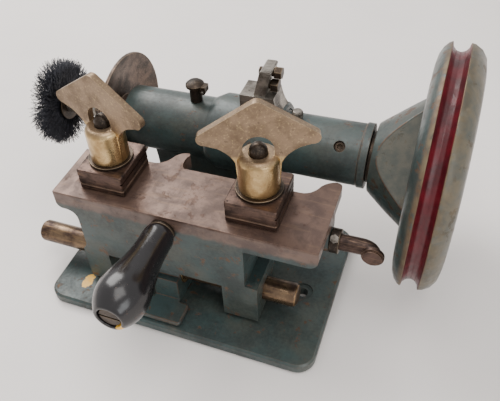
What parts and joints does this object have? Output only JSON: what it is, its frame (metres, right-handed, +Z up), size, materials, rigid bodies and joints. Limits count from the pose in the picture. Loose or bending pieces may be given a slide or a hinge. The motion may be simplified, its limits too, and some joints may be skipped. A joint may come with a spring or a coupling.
{
  "type": "skate sharpener",
  "caption": "Belt-driven bench skate sharpener: grooved pulley, spindle and brush on a cast base, with a sliding, rocking blade table, clamps and handle.",
  "frame": {"origin": "middle of the base plate at its underside", "axes": "+X along the spindle towards the belt pulley, +Y away from the user, +Z up"},
  "size_m": [0.3454, 0.2694, 0.1903],
  "materials": {
    "paint": "worn",
    "worn_iron": "worn",
    "jaw_steel": "patinated",
    "dark_steel": "patinated",
    "bright_steel": "satin",
    "rod_steel": "patinated",
    "bronze": "satin",
    "handle_black": "gloss",
    "bristle": "matte"
  },
  "bodies": {
    "stand": {"base_plate": "paint", "rod_pedestal": "paint", "rod_bush": "bronze", "pedestal_screw_1": "dark_steel", "pedestal_screw_2": "dark_steel", "stop_screw": "dark_steel", "stop_lock_nut": "dark_steel", "standard": "paint", "standard_bolt_1": "dark_steel", "standard_bolt_2": "dark_steel", "standard_bolt_3": "dark_steel", "standard_bolt_4": "dark_steel", "spindle_housing": "paint", "spindle_bush_left": "bronze", "spindle_bush_right": "bronze", "bush_set_screw": "dark_steel", "oil_plug": "bright_steel", "oiler_body": "dark_steel", "oiler_lid_pin": "bright_steel", "ring_bracket": "bright_steel", "bracket_bolt_low": "dark_steel", "bracket_bolt_high": "dark_steel"},
    "rod": {"guide_rod": "rod_steel"},
    "table": {"carriage": "worn_iron", "handle_stud": "dark_steel", "handle_screw": "dark_steel", "clamp_stud_left": "dark_steel", "clamp_stud_right": "dark_steel"},
    "grip": {"handle_grip": "handle_black"},
    "bar": {"feed_bar": "jaw_steel", "bar_collar": "dark_steel", "collar_screw": "bright_steel"},
    "jaw_left": {"jaw_pad_left": "jaw_steel", "jaw_block_left": "jaw_steel", "jaw_washer_left": "dark_steel"},
    "jaw_right": {"jaw_pad_right": "jaw_steel", "jaw_block_right": "jaw_steel", "jaw_washer_right": "dark_steel"},
    "nut_left": {"wing_nut_left": "bronze"},
    "nut_right": {"wing_nut_right": "bronze"},
    "arbor": {"spindle": "bright_steel", "pulley_key": "dark_steel", "thrust_washer": "bronze", "pulley": "paint", "pulley_washer": "dark_steel", "pulley_nut": "dark_steel", "wheel_flange": "worn_iron", "wheel_collar": "worn_iron", "wheel_nut": "dark_steel", "brush_core": "dark_steel", "brush_bristles": "bristle", "brush_nut": "dark_steel"},
    "lid": {"oiler_lid": "dark_steel"}
  },
  "joints": [
    {"name": "spindle_turn", "type": "hinge", "parent": "stand", "child": "arbor", "pos_m": [0, 0.0588, 0.102], "axis": [1, 0, 0], "continuous": true},
    {"name": "rod_slide", "type": "slide", "parent": "stand", "child": "rod", "axis": [1, 0, 0], "range_m": [-0.034, 0.002]},
    {"name": "table_rock", "type": "hinge", "parent": "rod", "child": "table", "pos_m": [0, -0.026, 0.03], "axis": [1, 0, 0], "range_deg": [0, 10]},
    {"name": "grip_turn", "type": "hinge", "parent": "table", "child": "grip", "pos_m": [-0.004, -0.08, 0.092], "axis": [0, 1, 0], "continuous": true},
    {"name": "bar_turn", "type": "hinge", "parent": "table", "child": "bar", "pos_m": [0, -0.0094, 0.08], "axis": [1, 0, 0], "range_deg": [-90, 90]},
    {"name": "jaw_left_lift", "type": "slide", "parent": "table", "child": "jaw_left", "axis": [0, 0, 1], "range_m": [0, 0.00265]},
    {"name": "jaw_right_lift", "type": "slide", "parent": "table", "child": "jaw_right", "axis": [0, 0, 1], "range_m": [0, 0.00265]},
    {"name": "nut_left_turn", "type": "hinge", "parent": "jaw_left", "child": "nut_left", "pos_m": [-0.0547, -0.0164, 0.13], "axis": [0, 0, 1], "range_deg": [0, 540]},
    {"name": "nut_right_turn", "type": "hinge", "parent": "jaw_right", "child": "nut_right", "pos_m": [0.057, -0.0164, 0.13], "axis": [0, 0, 1], "range_deg": [0, 540]},
    {"name": "lid_open", "type": "hinge", "parent": "stand", "child": "lid", "pos_m": [-0.0118, 0.0588, 0.1371], "axis": [0, 1, 0], "range_deg": [0, 100]}
  ],
  "couplings": [
    {"joint": "jaw_left_lift", "follows": "nut_left_turn", "m_per_rad": 0.00027852},
    {"joint": "jaw_right_lift", "follows": "nut_right_turn", "m_per_rad": 0.00027852}
  ]
}
